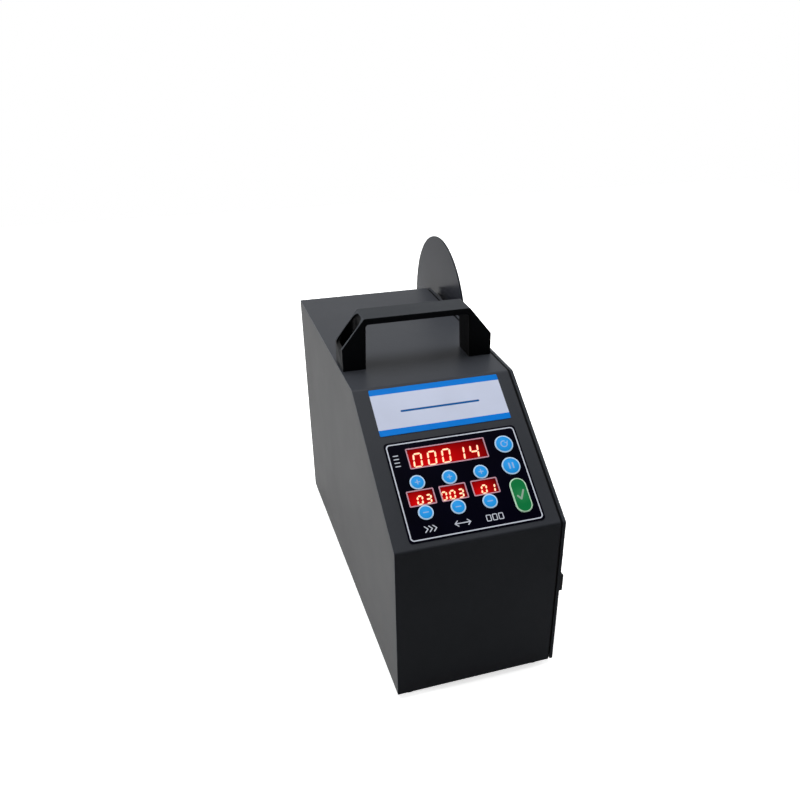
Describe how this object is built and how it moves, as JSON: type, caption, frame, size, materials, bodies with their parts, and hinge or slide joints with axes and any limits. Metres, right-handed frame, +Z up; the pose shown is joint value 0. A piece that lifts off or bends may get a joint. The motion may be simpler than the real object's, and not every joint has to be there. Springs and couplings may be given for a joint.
{
  "type": "desktop label dispenser",
  "caption": "Desktop label dispenser: wedge-fronted sheet housing with a control panel and bridge handle; label reel, rollers, pinch lever, peel plate and take-up spindle on its side plate.",
  "frame": {"origin": "middle of the folded cover, on the surface that the feet stand on", "axes": "+X to the machine's right, where the reel and rollers are; +Y to its back; +Z up"},
  "size_m": [0.1896, 0.4605, 0.312],
  "materials": {
    "housing_paint": "satin grey-black powder coat",
    "disc_paint": "satin dark grey",
    "dark_steel": "blackened steel",
    "plain_steel": "turned",
    "bright_steel": "ground",
    "bearing_steel": "polished",
    "aluminium": "satin anodised",
    "rubber": "matt",
    "felt": "felt",
    "belt_amber": "translucent polyurethane, matt",
    "black_plastic": "fine moulded grain",
    "label_film": "printed film, pale with blue bands",
    "overlay_film": "black printed film",
    "display_red": "deep red window",
    "board_green": "circuit board",
    "button_blue": "printed keycap",
    "button_green": "printed keycap",
    "grip_red": "gloss",
    "rocker_red": "gloss",
    "supply_case": "perforated sheet"
  },
  "bodies": {
    "machine": {"cover": "housing_paint", "left_panel": "housing_paint", "side_plate": "housing_paint", "base_plate": "dark_steel", "tie_rods": "plain_steel", "button_head_screws": "dark_steel", "feet": "rubber", "handle": "black_plastic", "nameplate": "label_film", "control_overlay": "overlay_film", "number_displays": "display_red", "control_board": "board_green", "stepper_motor": "dark_steel", "motor_bracket": "plain_steel", "drive_belt": "rubber", "bearing_housings": "aluminium", "ball_bearings": "bearing_steel", "takeup_belt": "belt_amber", "reel_spindle": "plain_steel", "brake_washer": "felt", "hub_retainer": "plain_steel", "stud_nuts": "plain_steel", "guide_studs": "plain_steel", "pivot_studs": "plain_steel", "peel_plate": "bright_steel", "power_supply": "supply_case", "power_inlet": "black_plastic"},
    "reel": {"reel_hub": "black_plastic", "reel_disc": "disc_paint"},
    "drive": {"drive_shaft": "plain_steel", "drive_roller": "rubber", "drive_pulley": "aluminium"},
    "motor_rotor": {"motor_shaft": "plain_steel", "motor_pulley": "aluminium"},
    "takeup": {"takeup_spindle": "plain_steel", "takeup_disc": "dark_steel", "takeup_clip": "plain_steel", "takeup_pulley": "aluminium"},
    "upper_guide": {"upper_guide_roller": "aluminium"},
    "lower_guide": {"lower_guide_roller": "aluminium"},
    "tension": {"tension_arm": "dark_steel", "tension_spring": "plain_steel"},
    "tension_wheel": {"tension_roller": "aluminium"},
    "pinch": {"pinch_lever": "dark_steel", "pinch_grip": "grip_red", "pinch_spring": "plain_steel"},
    "pinch_wheel": {"pinch_roller": "rubber"},
    "sensor_slide": {"sensor_bracket": "dark_steel", "label_sensor": "black_plastic"},
    "thumbscrew": {"sensor_knob": "black_plastic"},
    "rocker": {"rocker_switch": "rocker_red"},
    "speed_up_button_cap": {"speed_up_button": "button_blue"},
    "length_up_button_cap": {"length_up_button": "button_blue"},
    "rows_up_button_cap": {"rows_up_button": "button_blue"},
    "speed_down_button_cap": {"speed_down_button": "button_blue"},
    "length_down_button_cap": {"length_down_button": "button_blue"},
    "rows_down_button_cap": {"rows_down_button": "button_blue"},
    "reset_button_cap": {"reset_button": "button_blue"},
    "pause_button_cap": {"pause_button": "button_blue"},
    "confirm_button_cap": {"confirm_button": "button_green"}
  },
  "joints": [
    {"name": "reel_spin", "type": "hinge", "parent": "machine", "child": "reel", "pos_m": [0.0794, 0.177, 0.222], "axis": [1, 0, 0], "continuous": true},
    {"name": "drive_spin", "type": "hinge", "parent": "machine", "child": "drive", "pos_m": [0.0794, -0.05, 0.058], "axis": [1, 0, 0], "continuous": true},
    {"name": "motor_spin", "type": "hinge", "parent": "machine", "child": "motor_rotor", "pos_m": [0.0794, -0.13, 0.058], "axis": [1, 0, 0], "continuous": true},
    {"name": "takeup_spin", "type": "hinge", "parent": "machine", "child": "takeup", "pos_m": [0.0794, 0.095, 0.081], "axis": [1, 0, 0], "continuous": true},
    {"name": "upper_guide_spin", "type": "hinge", "parent": "machine", "child": "upper_guide", "pos_m": [0.0794, -0.032, 0.134], "axis": [1, 0, 0], "continuous": true},
    {"name": "lower_guide_spin", "type": "hinge", "parent": "machine", "child": "lower_guide", "pos_m": [0.0794, -0.092, 0.124], "axis": [1, 0, 0], "continuous": true},
    {"name": "tension_swing", "type": "hinge", "parent": "machine", "child": "tension", "pos_m": [0.0794, 0.008, 0.156], "axis": [1, 0, 0], "range_deg": [0, 35], "stiffness_Nm_per_rad": 0.15, "springref_deg": -20.05},
    {"name": "tension_roller_spin", "type": "hinge", "parent": "tension", "child": "tension_wheel", "pos_m": [0.0794, 0.058, 0.146], "axis": [1, 0, 0], "continuous": true},
    {"name": "pinch_lift", "type": "hinge", "parent": "machine", "child": "pinch", "pos_m": [0.0794, -0.014, 0.098], "axis": [1, 0, 0], "range_deg": [-22, 0], "stiffness_Nm_per_rad": 0.4, "springref_deg": 28.65},
    {"name": "pinch_roller_spin", "type": "hinge", "parent": "pinch", "child": "pinch_wheel", "pos_m": [0.0794, -0.05, 0.0834], "axis": [1, 0, 0], "continuous": true},
    {"name": "sensor_adjust", "type": "slide", "parent": "machine", "child": "sensor_slide", "axis": [0, 1, 0], "range_m": [-0.008, 0.008]},
    {"name": "thumbscrew_turn", "type": "hinge", "parent": "sensor_slide", "child": "thumbscrew", "pos_m": [0.0794, -0.12, 0.0475], "axis": [1, 0, 0], "continuous": true},
    {"name": "rocker_tilt", "type": "hinge", "parent": "machine", "child": "rocker", "pos_m": [-0.038, 0.1915, 0.082], "axis": [0, 0, 1], "range_deg": [0, 15]},
    {"name": "speed_up_press", "type": "slide", "parent": "machine", "child": "speed_up_button_cap", "axis": [0, 0.5503, -0.835], "range_m": [0, 0.0005], "stiffness_N_per_m": 500},
    {"name": "length_up_press", "type": "slide", "parent": "machine", "child": "length_up_button_cap", "axis": [0, 0.5503, -0.835], "range_m": [0, 0.0005], "stiffness_N_per_m": 500},
    {"name": "rows_up_press", "type": "slide", "parent": "machine", "child": "rows_up_button_cap", "axis": [0, 0.5503, -0.835], "range_m": [0, 0.0005], "stiffness_N_per_m": 500},
    {"name": "speed_down_press", "type": "slide", "parent": "machine", "child": "speed_down_button_cap", "axis": [0, 0.5503, -0.835], "range_m": [0, 0.0005], "stiffness_N_per_m": 500},
    {"name": "length_down_press", "type": "slide", "parent": "machine", "child": "length_down_button_cap", "axis": [0, 0.5503, -0.835], "range_m": [0, 0.0005], "stiffness_N_per_m": 500},
    {"name": "rows_down_press", "type": "slide", "parent": "machine", "child": "rows_down_button_cap", "axis": [0, 0.5503, -0.835], "range_m": [0, 0.0005], "stiffness_N_per_m": 500},
    {"name": "reset_press", "type": "slide", "parent": "machine", "child": "reset_button_cap", "axis": [0, 0.5503, -0.835], "range_m": [0, 0.0005], "stiffness_N_per_m": 500},
    {"name": "pause_press", "type": "slide", "parent": "machine", "child": "pause_button_cap", "axis": [0, 0.5503, -0.835], "range_m": [0, 0.0005], "stiffness_N_per_m": 500},
    {"name": "confirm_press", "type": "slide", "parent": "machine", "child": "confirm_button_cap", "axis": [0, 0.5503, -0.835], "range_m": [0, 0.0005], "stiffness_N_per_m": 500}
  ],
  "couplings": [
    {"joint": "motor_spin", "follows": "drive_spin", "ratio": 2},
    {"joint": "takeup_spin", "follows": "drive_spin", "ratio": 0.8},
    {"joint": "pinch_roller_spin", "follows": "drive_spin", "ratio": -1.7778}
  ]
}
